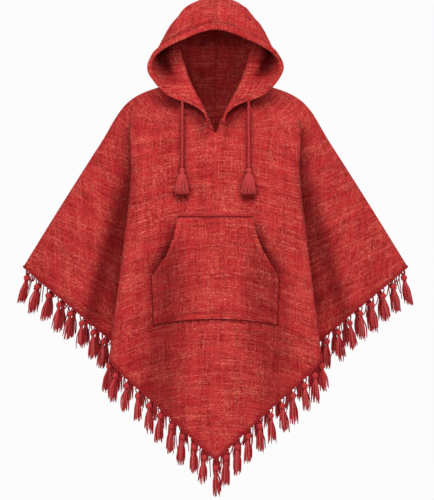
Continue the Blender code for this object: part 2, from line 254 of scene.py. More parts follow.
drawcord = {
    "diameter": .0065,
    "x": .0780,
    # y and z of the route, from under the hood's rim to the tassel
    "route": [(-.0975, -.0262), (-.0975, -.0422), (-.0994, -.0582), (-.1049, -.0742),
              (-.1099, -.0901), (-.1152, -.1061), (-.1209, -.1221), (-.1266, -.1381),
              (-.1327, -.1540), (-.1389, -.1700), (-.1389, -.1860)],
    "easing": 60,            # passes that round the corners of the route
    "plies": 3,
    "plyDepth": .13,
    "fullness": .95,         # of the radius, halfway between crest and groove of the plies
    "turnsPerMetre": 75,     # twist
    "corners": 18,
    "step": .0009,
}

cordTassel = {
    "seed": 40,
    # drop and radius of the bead
    "bead": [(-.0004, .0022), (.0012, .0050), (.0035, .0062), (.0062, .0061), (.0090, .0050),
             (.0106, .0038)],
    "beadWraps": (7, .0011),         # turns and radius of the yarn
    "neck": (.0085, .0140, .0040),   # wrapped from, to, and radius
    "neckWraps": (4, .0010),
    "stepsPerTurn": 14,
    "strands": 74,
    "length": .0620,
    "spread": .0178,
    "flatness": .62,
    "yarn": .00125,
}


def cordPath(side):
    coarse = np.array([(side * drawcord["x"], y, z) for y, z in drawcord["route"]])
    stations = lengths(coarse)
    alongs = np.linspace(0, stations[-1], int(stations[-1] / drawcord["step"]))
    fine = pointsAt(alongs, stations, coarse)
    for _ in range(drawcord["easing"]):
        fine[1:-1] = (fine[:-2] + 2 * fine[1:-1] + fine[2:]) / 4
    return fine, stations[-1]


def addDrawcord(word, side):
    path, length = cordPath(side)
    tubes = Tubes()
    tubes.add(path, np.full(len(path), drawcord["diameter"] / 2 * drawcord["fullness"]),
              drawcord["corners"], drawcord["plies"], drawcord["plyDepth"],
              2 * math.pi * drawcord["turnsPerMetre"])
    cord = tubes.piece("twisted_cord_" + word, wool["cord"])
    dress(cord, "cord", "drawcord_" + word)
    return cord


def wrappedBead(tubes, place, profile, turns, yarnRadius):
    # a yarn wound in a close helix over a bead, so that the wraps show, and the core inside
    drops, radii = np.array(profile).T
    t = np.linspace(0, 1, turns * cordTassel["stepsPerTurn"] + 1)
    wound = drops[0] + (drops[-1] - drops[0]) * t
    turn = 2 * math.pi * turns * t
    radius = np.interp(wound, drops, radii) - yarnRadius * .6
    helix = np.stack([radius * np.cos(turn), radius * np.sin(turn), -wound], axis=1)
    tubes.add(place + helix, np.full(len(t), yarnRadius), 6)
    core = [place - (0, 0, drop) for drop in drops]
    tubes.add(core, np.maximum(radii - yarnRadius, .0005), 10)


def addCordTassel(word, side):
    chance = random.Random(cordTassel["seed"] + side)
    place = np.array([side * drawcord["x"], *drawcord["route"][-1]])
    tubes = Tubes()
    wrappedBead(tubes, place, cordTassel["bead"], *cordTassel["beadWraps"])
    top, bottom, neck = cordTassel["neck"]
    wrappedBead(tubes, place, [(top + .001, neck), (bottom, neck * 1.08)], *cordTassel["neckWraps"])
    start = top + .003       # the strands begin inside the neck
    t = np.linspace(0, 1, 8)
    for strand in range(cordTassel["strands"]):
        turn = 2 * math.pi * (strand * goldenShare + chance.uniform(-.02, .02))
        share = math.sqrt((strand + .5) / cordTassel["strands"])
        reach = cordTassel["spread"] * share * chance.uniform(.88, 1.04)
        length = cordTassel["length"] * chance.uniform(.93, 1.02) - .003 * share
        wave = chance.uniform(-.0012, .0012) * np.sin(3 * t + strand)
        radius = neck * .8 * share * (1 - t) + reach * (.92 * t ** .62 + .08 * t)
        hang = np.stack([radius * math.cos(turn) + wave,
                         cordTassel["flatness"] * radius * math.sin(turn),
                         -start - (length - start) * t], axis=1)
        tubes.add(place + hang, cordTassel["yarn"] * np.linspace(1.1, .8, 8) * chance.uniform(.85, 1.1))
    tassel = tubes.piece("tasselled_end_" + word, wool["tassel"])
    dress(tassel, "cord", "cord_tassel_" + word)
    return tassel


cordPieces = []
for word, side in sides.items():
    tassel = addCordTassel(word, side)
    cordPieces += [addDrawcord(word, side), tassel]
print("drawcords made")

weave = {
    "gap": "8A1218",         # shade between the threads
    "red": "AC2128",
    "bright": "C22D31",
    "slub": "E97260",        # thick soft places in the yarn
    "paintedShadeTint": "6E4448",    # what the red is multiplied by where shade is painted: in folds, hollows and cast shadows
    "thread": 2.1,           # mm, drawn coarser than the real 1.2 mm so that it shows
    "run": 62.0,             # mm that one thread keeps its shade
    "paleRun": 75.0,         # mm that a pale thread stays pale
    "slubLength": 8.0,       # mm
    "band": 17.0,            # mm, uneven dyeing from one stretch of yarn to the next
    "bandLength": 300.0,     # mm
    "patch": (70.0, 55.0),   # mm, uneven brushing
    "slubPatch": (60.0, 40.0),
    "relief": .0016,         # m from the gaps to the slubs
    "yoke": -.16,            # m, the height down to which the shoulders turn the cloth
}


def handWoven():
    # Hand-woven slubby wool, brushed: matt, straight threads of uneven shade both ways, light
    # slubs where a thread swells, and a soft nap at the edges. Each pattern has a seed of its
    # own, so that no two of them lie alike
    material, tree, shader = newMaterial("hand-woven slubby wool")
    mm = millimetres(tree)
    thread = weave["thread"]

    def counted(width, height):
        # which thread it is, across and down
        divided = node(tree, "VectorMath", {0: mm, 1: (width, height, 1)}, operation="DIVIDE")
        return node(tree, "VectorMath", {0: divided}, operation="FLOOR")

    def cloud(width, height, seed, detail=1.0):
        placed = node(tree, "Mapping", {"Vector": mm, "Location": (seed, seed * .7, seed),
                                        "Scale": (1 / width, 1 / height, 1)})
        return node(tree, "TexNoise", {"Vector": placed, "Scale": 1.0, "Detail": detail,
                                       "Roughness": .55}, noise_dimensions="2D")

    def eachThread(along, number, run, seed):
        # one value for each thread, which changes slowly along it
        far = node(tree, "Math", {0: along, 1: run}, operation="DIVIDE")
        row = node(tree, "Math", {0: number, 1: 1.37, 2: seed}, operation="MULTIPLY_ADD")
        place = node(tree, "CombineXYZ", {0: far, 1: row})
        return node(tree, "TexNoise", {"Vector": place, "Scale": 1.0, "Detail": 1.0,
                                       "Roughness": .5}, noise_dimensions="2D")

    def swelling(weft, warp):
        # the larger of two values, for a weft and a warp thread: run, seed, the range of the
        # thread's own value in which it swells, and how far it swells
        both = []
        for (along, number), (run, seed, low, high, most) in (((across, row), weft),
                                                              ((down, column), warp)):
            own = eachThread(along, number, run, seed)
            both.append(node(tree, "MapRange", {0: own, 1: low, 2: high, 4: most}))
        return node(tree, "Math", {0: both[0], 1: both[1]}, operation="MAXIMUM")

    across, down = node(tree, "SeparateXYZ", {0: mm}).node.outputs[:2]
    column, row = node(tree, "SeparateXYZ", {0: counted(thread, thread)}).node.outputs[:2]
    # plain weave: a crosswise thread lies on top at every second crossing
    crossing = node(tree, "Math", {0: column, 1: row}, operation="ADD")
    onTop = node(tree, "Math", {0: crossing, 1: 1.0}, operation="PINGPONG")
    patterns = (
        (.37, eachThread(across, row, weave["run"], 7.3)),
        (.33, eachThread(down, column, weave["run"], 41.7)),
        (.18, cloud(thread * .95, thread * .95, 23.0, 2.0)),
        (.10, cloud(thread * 2.6, thread * .9, 61.0)),
        (.05, onTop),
    )
    value = 0.0
    for share, pattern in patterns:
        value = node(tree, "Math", {0: pattern, 1: share, 2: value}, operation="MULTIPLY_ADD")
    band, bandLength = weave["band"], weave["bandLength"]
    unevenness = (
        (.05, cloud(bandLength, band, 53.0)),
        (.04, cloud(band * 1.3, bandLength, 71.0)),
        (.03, cloud(*weave["patch"], 91.0)),
    )
    for depth, pattern in unevenness:
        swing = node(tree, "MapRange", {0: pattern, 1: .3, 2: .7, 3: -depth, 4: depth})
        value = node(tree, "Math", {0: value, 1: swing}, operation="ADD")
    ramp = node(tree, "ValToRGB", {"Fac": value})
    stops = ramp.node.color_ramp.elements
    stops[0].position, stops[0].color = .36, linear(weave["gap"])
    stops[1].position, stops[1].color = .68, linear(weave["bright"])
    stops.new(.51).color = linear(weave["red"])
    slubs = swelling((weave["slubLength"], 113.1, .50, .80, 1.0),
                     (weave["slubLength"] * 1.2, 131.9, .52, .84, .8))
    pale = swelling((weave["paleRun"], 211.3, .51, .64, 1.0), (weave["paleRun"], 233.9, .54, .68, .9))
    # specks, each where one swollen thread rides over another
    chance = node(tree, "TexWhiteNoise", {"Vector": counted(thread * 1.6, thread * 1.1)},
                  noise_dimensions="2D")
    rare = node(tree, "MapRange", {0: chance, 1: .35, 2: .98})
    onPale = node(tree, "MapRange", {0: pale, 3: .24})
    specks = node(tree, "Math", {0: rare, 1: onPale}, operation="MULTIPLY")
    broken = node(tree, "MapRange", {0: chance, 1: .3, 2: .9, 3: .1, 4: .8})
    light = node(tree, "Math", {0: slubs, 1: broken}, operation="MULTIPLY")
    for share, pattern in ((.85, specks), (.23, pale)):
        part = node(tree, "Math", {0: pattern, 1: share}, operation="MULTIPLY")
        light = node(tree, "Math", {0: light, 1: part}, operation="MAXIMUM")
    patches = node(tree, "MapRange", {0: cloud(*weave["slubPatch"], 151.0), 1: .3, 2: .6, 3: .45})
    light = node(tree, "Math", {0: light, 1: patches}, operation="MULTIPLY")
    heathered = node(tree, "Mix", {0: light, 6: ramp, 7: linear(weave["slub"])}, out=2,
                     data_type="RGBA")
    # painted shade: the red darkened by the tint, mixed in where the per-point shade attribute is low
    paintedShadeColour = node(tree, "Mix", {0: 1.0, 6: heathered, 7: linear(weave["paintedShadeTint"])}, out=2,
                data_type="RGBA", blend_type="MULTIPLY")
    seen = node(tree, "Attribute", out="Fac", attribute_name="paintedShade")
    coloured = node(tree, "Mix", {0: seen, 6: paintedShadeColour, 7: heathered}, out=2, data_type="RGBA")
    height = node(tree, "Math", {0: light, 1: .4, 2: value}, operation="MULTIPLY_ADD")
    bump = node(tree, "Bump", {"Height": height, "Strength": .6, "Distance": weave["relief"]})
    tree.links.new(coloured, shader.inputs["Base Color"])
    tree.links.new(bump, shader.inputs["Normal"])
    shader.inputs["Roughness"].default_value = .95
    shader.inputs["Specular IOR Level"].default_value = .04
    shader.inputs["Sheen Weight"].default_value = .10
    shader.inputs["Sheen Roughness"].default_value = .45
    shader.inputs["Sheen Tint"].default_value = linear("F06A68")
    return material


clothWool = handWoven()
clothWall = .0025

# The cut, half of it, from the centre to the overarm seam. Rows are levels down the garment,
# and columns: centre, mid, ridge, tuck, wing inner, wing outer, overarm
frontCloth = {
    "neck": [(0, -.110, -.101), (.026, -.107, -.086), (.062, -.095, -.052), (.080, -.066, -.017),
             (.086, -.040, .009), (.088, -.019, .023), (.088, 0, .030)],
    "yoke": [(0, -.128, -.200), (.085, -.112, -.150), (.178, -.083, -.088), (.196, -.052, -.060),
             (.206, -.035, -.042), (.207, -.018, -.025), (.205, 0, -.018)],
    "chest": [(0, -.145, -.380), (.095, -.134, -.330), (.191, -.118, -.2175), (.198, -.060, -.190),
              (.235, -.050, -.170), (.262, -.035, -.140), (.279, 0, -.126)],
    "hip": [(0, -.158, -.620), (.105, -.149, -.550), (.215, -.135, -.430), (.220, -.045, -.400),
            (.285, -.060, -.360), (.335, -.040, -.310), (.380, 0, -.285)],
    "hem": [(0, -.168, -.862), (.118, -.160, -.752), (.243, -.140, -.637), (.236, -.035, -.606),
            (.305, -.055, -.541), (.388, -.035, -.474), (.460, 0, -.415)],
}
frontCells = {"across": (6, 4, 3, 3, 4, 3), "down": (3, 4, 4, 5), "fine": 5}

backCloth = {
    "neck": [(0, .078, -.040), (.034, .070, -.030), (.060, .052, -.009), (.076, .035, .009),
             (.084, .023, .020), (.087, .011, .027), (.088, 0, .030)],
    "yoke": [(0, .112, -.130), (.095, .104, -.110), (.178, .075, -.078), (.198, .050, -.056),
             (.206, .034, -.041), (.207, .017, -.024), (.205, 0, -.018)],
    "chest": [(0, .128, -.340), (.105, .122, -.300), (.195, .098, -.2100), (.200, .058, -.188),
              (.236, .047, -.168), (.262, .033, -.139), (.279, 0, -.126)],
    "hip": [(0, .138, -.590), (.112, .132, -.525), (.218, .112, -.420), (.224, .047, -.395),
            (.287, .056, -.357), (.335, .038, -.308), (.380, 0, -.285)],
    "hem": [(0, .150, -.855), (.120, .143, -.745), (.245, .122, -.630), (.240, .040, -.600),
            (.306, .052, -.536), (.388, .034, -.470), (.460, 0, -.415)],
}
backCells = {"across": (3, 3, 2, 2, 2, 2), "down": (3, 4, 4, 5), "fine": 6}

# The hood, half of it: ribs from the face edge back to the nape
# columns: crown, brow, temple, cheek, jaw, throat
hoodCloth = {
    "rim": [(0, -.120, .141), (.078, -.113, .117), (.136, -.098, .085),
            (.158, -.090, .047), (.118, -.096, -.008), (.040, -.106, -.045)],
    "casing": [(0, -.112, .157), (.089, -.104, .132), (.143, -.090, .089),
               (.153, -.078, .048), (.110, -.086, -.002), (.037, -.101, -.043)],
    "valley": [(0, -.084, .191), (.0955, -.069, .166), (.133, -.022, .103),
               (.120, -.034, .060), (.092, -.081, .005), (.033, -.103, -.045)],
    "fall": [(0, -.068, .205), (.0875, -.059, .179), (.109, -.050, .107),
             (.098, -.060, .060), (.074, -.082, .006), (.028, -.105, -.051)],
    "roll": [(0, -.045, .220), (.0795, -.044, .193), (.087, -.052, .116),
             (.076, -.062, .064), (.057, -.076, .012), (.024, -.103, -.054)],
    "stand": [(0, -.008, .232), (.0770, -.010, .198), (.103, -.017, .127),
              (.094, -.026, .068), (.079, -.044, .026), (.050, -.086, -.024)],
    "side": [(0, .035, .228), (.0770, .026, .193), (.111, .022, .125),
             (.108, .005, .072), (.096, -.014, .044), (.080, -.052, .008)],
    "crownBack": [(0, .072, .208), (.0745, .058, .176), (.107, .045, .116),
                  (.104, .026, .074), (.096, .004, .052), (.088, -.022, .033)],
    "back": [(0, .104, .172), (.0670, .088, .144), (.098, .065, .098),
             (.100, .040, .068), (.094, .018, .050), (.089, -.007, .038)],
    "occiput": [(0, .122, .118), (.056, .108, .100), (.088, .080, .074),
                (.095, .052, .058), (.092, .030, .047), (.089, .005, .040)],
    "collar": [(0, .110, .035), (.045, .098, .032), (.074, .072, .032),
               (.086, .048, .034), (.089, .028, .036), (.0885, .010, .036)],
}
hoodCells = {"back": (1, 2, 1, 1, 3, 3, 3, 3, 2, 2, 2), "fine": (18, 12, 7, 6, 8, 8, 8, 8, 6, 6, 6),
             "down": (12, 12, 10, 8, 8, 8)}

rim = {
    # the padded roll round the face
    "width": .0175,
    "narrow": .0062,         # towards the throat
    "valleyShare": .6,       # the most it takes of the way to the valley, where that is short
    "thick": .0115,
    "groove": .0010,
    "grooveReach": .0036,
    "grooveOff": .001,       # from the roll to the groove's middle
    "crownSeam": .0010,      # depth of the seam over the crown
    "ripple": .0012,
}


def curveThrough(points, cells, before, after):
    # Catmull-Rom samples with so many cells from one point to the next
    chain = np.array([before, *points, after], float)
    samples = []
    for start, count in enumerate(cells):
        a, b, c, d = chain[start:start + 4]
        t = (np.arange(count) / count).reshape((-1,) + (1,) * (chain.ndim - 1))
        samples.append(.5 * (2 * b + (c - a) * t + (2 * a - 5 * b + 4 * c - d) * t ** 2
                             + (3 * b - a - 3 * c + d) * t ** 3))
    return np.concatenate(samples + [chain[-2:-1]])


def straightOn(points):
    return 2 * points[0] - points[1], 2 * points[-1] - points[-2]


def halfPanel(levels, across, down, roundNeck):
    rows = []
    for name, level in levels.items():
        level = np.array(level, float)
        overCentre = level[1] * (-1, 1, 1)
        if not (roundNeck and name == "neck"):
            overCentre[1:] = level[0, 1], 2 * level[0, 2] - level[1, 2]
        rows.append(curveThrough(level, across, overCentre, level[-2] * (1, -1, 1)))
    rows = np.array(rows)
    return curveThrough(rows, down, *straightOn(rows))


def bothHalves(half):
    return np.concatenate([half[:, :0:-1] * (-1, 1, 1), half], axis=1)


def gridNormals(grid, turn):
    return unit(np.cross(np.gradient(grid, axis=1), np.gradient(grid, axis=0)) * turn)


def towardsNeck(points):
    return unit(-points * (1, 1, 0))


def wallPiece(name, outer, inner, uvs, innerUvs=None):
    # a closed wall: outer grid, inner grid, and the four edges between them
    rows, columns = outer.shape[:2]
    half = rows * columns
    at = np.arange(half).reshape(rows, columns)
    cells = np.stack([at[:-1, :-1], at[:-1, 1:], at[1:, 1:], at[1:, :-1]], axis=-1).reshape(-1, 4)
    faces = [tuple(map(int, f)) for f in cells] + [tuple(map(int, f[::-1] + half)) for f in cells]
    edge = [*at[0, :-1], *at[:-1, -1], *at[-1, :0:-1], *at[:0:-1, 0]]
    for here, there in zip(edge, edge[1:] + edge[:1]):
        faces.append((int(there), int(here), int(here) + half, int(there) + half))
    points = np.concatenate([outer.reshape(-1, 3), inner.reshape(-1, 3)])
    flat = np.asarray(uvs).reshape(-1, 2)
    flatInner = flat if innerUvs is None else innerUvs.reshape(-1, 2)
    piece = newPiece(name, points, faces, [clothWool], np.concatenate([flat, flatInner]))
    pickOnly(piece)
    bpy.ops.object.mode_set(mode="EDIT")
    bpy.ops.mesh.select_all(action="SELECT")
    bpy.ops.mesh.normals_make_consistent(inside=False)
    bpy.ops.object.mode_set(mode="OBJECT")
    return piece


pocket = {
    # height and half width, from the top edge down the hand opening and the side
    "outline": [(-.3015, .0880), (-.3250, .0915), (-.3520, .0975), (-.3820, .1115),
                (-.4110, .1310), (-.4360, .1480), (-.4650, .1475), (-.4950, .1460),
                (-.5250, .1450), (-.5508, .1435)],
    "opening": 5,            # stretches of the outline that are the hand opening
    "slant": .86,            # what is left of a width when it is taken square to the slanting edge
    "arch": .0137,
    "gap": .0005,
    "slack": .0028,
    "gape": .0150,           # how far the hand openings stand off
    "gapeEnd": 5.2,          # stretches down to where the opening closes
    "wall": .0030,
    "stitchIn": .0115,       # rows of sewing this far inside the edges
    "hem": .0016,            # how much thicker the turned edge is
    "cells": 9,
    "columns": 112,
}

creases = {
    # soft folds of the hanging cloth: from x, z to x, z, half width, height (below 0 a valley)
    # and how much painted shade darkens the middle of the fold; the last two have painted shade only
    "front": [(-.108, -.40, -.136, -.80, .050, -.0060, .52), (.130, -.40, .136, -.76, .045, -.0050, .42),
              (-.052, -.56, -.045, -.80, .026, .0030, 0), (.060, -.56, .050, -.80, .026, .0026, 0),
              (-.190, -.16, -.165, -.42, .022, .0030, 0), (.190, -.16, .165, -.42, .022, .0030, 0),
              (-.198, -.19, -.322, -.62, .023, -.0030, .62), (.196, -.18, .325, -.60, .023, -.0030, .54),
              (.085, -.37, .082, -.58, .020, 0, .30), (-.088, -.36, -.098, -.46, .022, 0, .22)],
    "back": [],
    "ripple": .0009,         # uneven hand of the cloth
    "rippleSize": .034,
    "edgeRows": 8,           # cells over which folds fade towards neck and hem
    "edgeColumns": 5,
}

shadow = {
    # painted shade: how much darker the cloth is painted in each place, and the metres over which that
    # fades
    "tuck": .70, "tuckReach": .032,          # behind the ridge of a wing
    "tuckTop": (.03, .10), "tuckFoot": (.48, .58),     # depths between which it comes and goes
    "hem": .25, "hemReach": .009,
    "opening": .93, "openingReach": .019,    # behind the pocket's hand openings
    "cord": .62, "cordReach": .0075,         # beside and under the drawcords
    "cordTop": (-.075, -.050),
    "groove": .32, "grooveReach": .0065,     # behind the roll of the hood
    "hollow": .66, "hollowReach": .030,      # in the valley inside the hood
    "brow": .68, "browHeights": (.055, .110),
    # inside, behind the head, factors instead: 1 changes nothing; painted shade towards the head and
    # painted light at the collar
    "head": .56, "collar": 3.56, "headHeights": (.02, .15),
}

hoodShadow = {
    # painted shadow of the hood: how far out and how high the hood's edge runs, on either side of the neck
    # opening
    "line": [(0, -.0915), (.024, -.0745), (.050, -.050), (.072, -.026), (.092, -.016)],
    "below": (-.020, 0),     # heights between which the shadow ends, so that the crown stays light
    "inside": .84, "insideRise": (-.003, .004), "insideOut": (.070, .100),
    "near": .66, "nearRise": (-.056, 0), "nearOut": (.080, .160), "nearIn": (.012, .030),
}


def foldsAt(x, z, folds):
    # the height of each fold, and the painted shade in it
    height = np.zeros_like(x)
    shade = np.ones_like(x)
    for x0, z0, x1, z1, width, tall, dark in folds:
        along = np.array([x1 - x0, z1 - z0])
        length = np.linalg.norm(along)
        along = along / length
        down = ((x - x0) * along[0] + (z - z0) * along[1]) / length
        aside = (x - x0) * along[1] - (z - z0) * along[0]
        bell = smoothStep(-.20, .25, down) * (1 - smoothStep(.80, 1.2, down)) * fading(aside, width)
        height += tall * bell
        shade *= 1 - dark * bell
    return height, shade


def besideCords(x, z):
    # 1 in the open, lower in the contact shadow of a drawcord and its tassel
    off = np.abs(np.abs(x) - drawcord["x"])
    knot = drawcord["route"][-1][1]
    foot = knot - cordTassel["length"]
    half = np.interp(-z, (-knot, .014 - knot, -foot), (.002, .006, cordTassel["spread"]))
    beside = fading(np.maximum(off - half, 0), shadow["cordReach"]) * smoothStep(foot - .008, foot, z)
    beside = beside * (1 - smoothStep(*shadow["cordTop"], z))
    under = fading(z - foot + .007, shadow["cordReach"]) * (1 - smoothStep(.012, .020, off))
    return 1 - shadow["cord"] * np.maximum(beside, 1.2 * under)


def underHood(x, z):
    # 1 in the open, lower in the shadow of the hood
    out = np.abs(x)
    rise = z - np.interp(out, *zip(*hoodShadow["line"]))
    below = 1 - smoothStep(*hoodShadow["below"], z)
    inside = smoothStep(*hoodShadow["insideRise"], rise) * (1 - smoothStep(*hoodShadow["insideOut"], out))
    near = smoothStep(*hoodShadow["nearRise"], rise) * (1 - smoothStep(*hoodShadow["nearOut"], out))
    near = near * smoothStep(*hoodShadow["nearIn"], out)
    return (1 - hoodShadow["inside"] * inside * below) * (1 - hoodShadow["near"] * near * below)


def ripples(points, size, seed):
    shift = Vector((seed, seed, seed))
    values = [noise.fractal(Vector((*(p / size),)) + shift, 1.0, 2.0, 2) for p in points.reshape(-1, 3)]
    return np.array(values).reshape(points.shape[:-1])


def weaveOf(grid, ridge):
    # Crosswise threads fall away from the centre of the front and rise along the wings
    x, z = grid[..., 0], grid[..., 2]
    across = lengths(grid[..., :2], axis=1)
    across -= across[:, [grid.shape[1] // 2]]
    ridgeX = np.interp(-z, -ridge[:, 2], ridge[:, 0])
    inside = np.minimum(np.abs(x), ridgeX)
    outside = np.maximum(np.abs(x) - ridgeX, 0)
    down = z + inside ** 2 - .45 * outside
    along = lengths(grid)
    for column in range(grid.shape[1]):     # over the shoulders, lengths along the cloth
        top = z[:, column] > weave["yoke"]
        if top.any():
            first = min(int(top.sum()), len(z) - 1)
            down[top, column] = down[first, column] + along[first, column] - along[top, column]
    return np.stack([across, down], axis=-1)


def panelShade(outer, folded, ridge, across):
    # painted shade: darker where the wing tucks in behind the ridge, in the valleys and at the rolled hem.
    # The second value, for a painted shadow, is 1 behind the pocket's hand openings
    x, z = outer[..., 0], outer[..., 2]
    fromMiddle = np.abs(np.arange(outer.shape[1]) - outer.shape[1] // 2)
    onWing = fromMiddle > sum(across[:2]) + across[2] // 2
    beyond = np.abs(x) - np.interp(-z, -ridge[:, 2], ridge[:, 0])
    tuck = onWing * fading(np.maximum(beyond, 0), shadow["tuckReach"])
    tuck *= smoothStep(*shadow["tuckTop"], -z) * (1 - smoothStep(*shadow["tuckFoot"], -z))
    hem = fading(lengths(outer[::-1])[::-1], shadow["hemReach"])
    shade = (1 - shadow["tuck"] * tuck) * folded * (1 - shadow["hem"] * hem)
    (top, _), *_, (foot, _) = pocket["outline"][:pocket["opening"] + 1]
    off = np.abs(x) - np.interp(-z, *zip(*[(-height, half) for height, half in pocket["outline"]]))
    share = np.clip((top - z) / (top - foot), 0, 1)
    bow = np.sin(np.pi * share ** 1.15) ** .7
    return shade, bow * fading(np.maximum(off, 0), shadow["openingReach"])


def addPanel(name, levels, cells, turn, roundNeck):
    # one panel of the cut with its folds. The turn is 1 for the front and -1 for the back
    across, down = [[cell * cells["fine"] for cell in cells[way]] for way in ("across", "down")]
    half = halfPanel(levels, across, down, roundNeck)
    ridge = half[:, across[0] + across[1]]
    outer = bothHalves(half)
    uvs = weaveOf(outer, ridge)
    normals = gridNormals(outer, -turn)
    normals[:, [0, -1]] = without(normals[:, [0, -1]], 1)
    normals[0] = -towardsNeck(outer[0])
    x, z = outer[..., 0], outer[..., 2]
    height, folded = foldsAt(x, z, creases[name])
    height = height + creases["ripple"] * ripples(outer, creases["rippleSize"], 3 + turn)
    rows, columns = [np.minimum(np.arange(n), np.arange(n)[::-1]) for n in x.shape]
    fromEdge = np.minimum(rows[:, None] / creases["edgeRows"], columns / creases["edgeColumns"])
    height *= np.clip(fromEdge, 0, 1)
    shifted = outer + height[..., None] * normals
    inner = shifted - clothWall * normals
    panel = wallPiece(name, shifted, inner, uvs)
    dress(panel, "cloth", name + "_panel")
    shade, opening = panelShade(outer, folded, ridge, across)
    if turn > 0:
        # painted shadows behind the hand openings, under the hood and beside the drawcords
        shade *= (1 - shadow["opening"] * opening) * underHood(x, z) * besideCords(x, z)
    return panel, shifted, inner, np.tile(shade.ravel(), 2)


frontPanel, frontOuter, frontInner, frontShade = addPanel("front", frontCloth, frontCells, 1, False)
backPanel, backOuter, backInner, backShade = addPanel("back", backCloth, backCells, -1, True)
print("front and back hung")


def neckAt(levels, cells, roundNeck, where):
    # the neck seam at places counted in the coarse cells of the cut
    finer = 12
    fine = halfPanel(levels, [cell * finer for cell in cells["across"]], [1] * 4, roundNeck)[0]
    return pointsAt(where, np.arange(len(fine)) / finer, fine)


def shared(counts, widths):
    # places in coarse cells, with so many fine cells in each width
    starts = np.cumsum((0, *widths))
    places = [s + w * np.arange(n) / n for s, w, n in zip(starts, widths, counts)]
    return np.concatenate([*places, starts[-1:]])


def hoodGrid():
    # half of the hood: rows from the face edge back to the nape, each from the crown down
    frontFeet = neckAt(frontCloth, frontCells, False, np.cumsum((0,) + hoodCells["back"]))
    backNeck = neckAt(backCloth, backCells, True, shared(hoodCells["down"], backCells["across"]))
    ribs = []
    for foot, rib in zip(frontFeet, hoodCloth.values()):
        rib = np.array([*rib, foot], float)
        ribs.append(curveThrough(rib, hoodCells["down"], rib[1] * (-1, 1, 1), 2 * rib[-1] - rib[-2]))
    ribs = np.array([*ribs, backNeck])
    outer = curveThrough(ribs, hoodCells["fine"], *straightOn(ribs))
    outer[:, -1] = neckAt(frontCloth, frontCells, False, shared(hoodCells["fine"], hoodCells["back"]))
    outer[-1] = backNeck
    return outer


def rowsAlongRoll(outer):
    # moves the rows along the cloth, so that the first ones follow the roll round the face
    stations = lengths(outer)
    valleyAt, fallAt = [stations[sum(hoodCells["fine"][:rib])] for rib in (2, 4)]
    width = np.clip(rim["valleyShare"] * valleyAt, rim["narrow"], rim["width"])
    first = hoodCells["fine"][0]
    placed = np.empty_like(outer)
    moved = np.empty_like(stations)
    for column, along in enumerate(stations.T):
        roll = 1.25 * width[column]
        rest = (along[first:] - along[first]) / (along[-1] - along[first])
        moved[:first, column] = roll * np.arange(first) / first
        moved[first:, column] = roll + (along[-1] - roll) * rest
        placed[:, column] = pointsAt(moved[:, column], along, outer[:, column])
    return placed, moved, width, valleyAt, fallAt


def hoodNormals(outer):
    normals = gridNormals(outer, 1)
    normals[:, 0] = without(normals[:, 0], 0)
    normals[:, -1] = -towardsNeck(outer[:, -1])
    normals[-1] = -towardsNeck(outer[-1])
    for _ in range(6):       # eases the turn of the wall into the neck seam
        normals[1:-1, 1:-1] = unit(normals[1:-1, 1:-1] * 2 + normals[:-2, 1:-1] + normals[2:, 1:-1]
                                   + normals[1:-1, :-2] + normals[1:-1, 2:])
    return normals


def hoodShade(outer, fromRim, fromCrown, width, valleyAt, fallAt):
    # painted shade: outside, darker behind the roll and over the neck; inside, in the hollow behind the
    # roll and behind the head, with painted light towards the collar
    z = outer[..., 2]
    behindRoll = smoothStep(width - .002, width + .002, fromRim)
    outside = 1 - (1 - underHood(outer[..., 0], z)) * behindRoll
    groove = fading(fromRim - width - rim["grooveOff"], shadow["grooveReach"])
    outside = outside * (1 - shadow["groove"] * groove)
    hollow = fading(fromRim - valleyAt, shadow["hollowReach"]) * behindRoll
    hollow = hollow * smoothStep(.06, .12, fromCrown) * smoothStep(.005, .05, z)
    brow = smoothStep(*shadow["browHeights"], z) * behindRoll * (fromRim < fallAt)
    inside = (1 - shadow["hollow"] * hollow) * (1 - shadow["brow"] * brow)
    head = smoothStep(*shadow["headHeights"], z)
    deep = shadow["collar"] + (shadow["head"] - shadow["collar"]) * head
    inside *= np.where(fromRim > fallAt, deep, 1)
    return np.concatenate([outside.ravel(), inside.ravel()])


